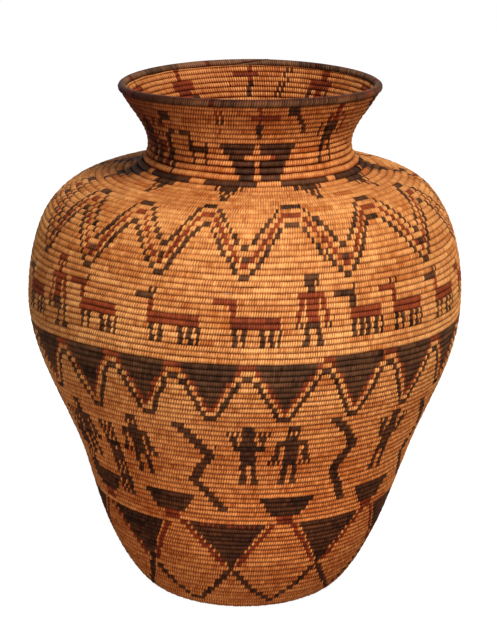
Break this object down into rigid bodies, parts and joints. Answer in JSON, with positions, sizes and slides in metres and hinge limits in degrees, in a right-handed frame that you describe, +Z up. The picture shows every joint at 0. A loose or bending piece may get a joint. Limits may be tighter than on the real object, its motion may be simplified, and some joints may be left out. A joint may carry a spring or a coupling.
{
  "type": "storage basket",
  "caption": "Tall round coiled storage basket with a small flat base, a wide high shoulder, a narrow neck and a flaring rim.",
  "frame": {"origin": "centre of the base's underside, on the surface that the basket stands on", "axes": "+Z up along the basket's axis, -Y towards the viewer of the picture, +X to the viewer's right"},
  "size_m": [0.435, 0.435, 0.5255],
  "materials": {
    "willow_sewing": "satin",
    "dark_sewing": "satin",
    "peeled_rods": "matte"
  },
  "bodies": {
    "root": {"start_knot": "willow_sewing", "base_coils": "willow_sewing", "heel_coils": "willow_sewing", "lower_wall_coils": "willow_sewing", "middle_wall_coils": "willow_sewing", "upper_wall_coils": "willow_sewing", "belly_coils": "willow_sewing", "shoulder_turn_coils": "willow_sewing", "shoulder_coils": "willow_sewing", "neck_root_coils": "willow_sewing", "neck_waist_coils": "willow_sewing", "neck_flare_coils": "willow_sewing", "rim_seat_coils": "willow_sewing", "rim_sewing": "dark_sewing", "rim_rod_upper": "peeled_rods", "rim_rod_inner": "peeled_rods", "rim_rod_outer": "peeled_rods"}
  },
  "joints": []
}
